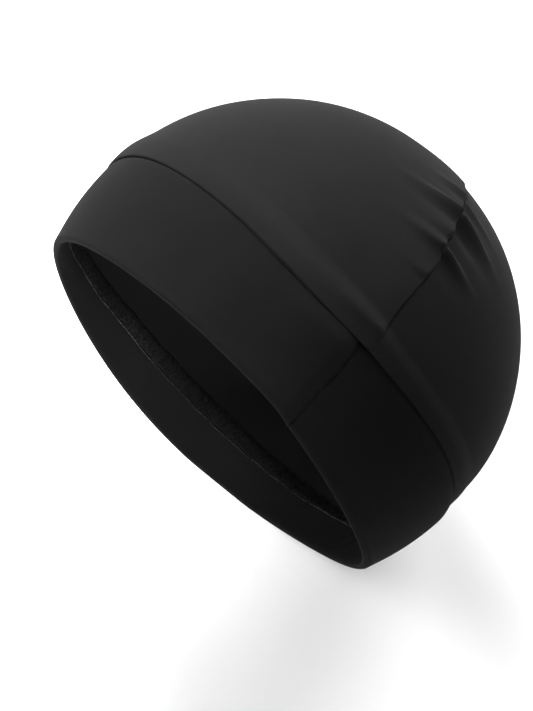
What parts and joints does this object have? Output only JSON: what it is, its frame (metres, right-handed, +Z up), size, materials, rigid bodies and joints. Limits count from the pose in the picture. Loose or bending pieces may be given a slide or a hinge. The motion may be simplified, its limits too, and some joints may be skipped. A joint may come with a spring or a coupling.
{
  "type": "skull beanie",
  "caption": "Close-fitting skull cap of thin black jersey: a domed crown with a gathered back seam over a hemmed head band, lying on its side with its opening to the front.",
  "frame": {"origin": "middle of the whole object's box, on the surface it rests on", "axes": "+Z up from the table, -Y the way the head opening faces, +Y the way the crown points, raised 8.5 degrees; +X is the side that the back seam is turned to"},
  "size_m": [0.1886, 0.1442, 0.19],
  "materials": {
    "crown_jersey": "matte fine-knit jersey",
    "band_jersey": "matte fine-knit jersey",
    "overlock_thread": "matte spun thread"
  },
  "bodies": {
    "root": {"crown": "crown_jersey", "band": "band_jersey", "hem_overlock": "overlock_thread", "joining_seam_allowance": "overlock_thread", "crown_seam_allowance": "overlock_thread", "band_joint_allowance": "overlock_thread"}
  },
  "joints": []
}
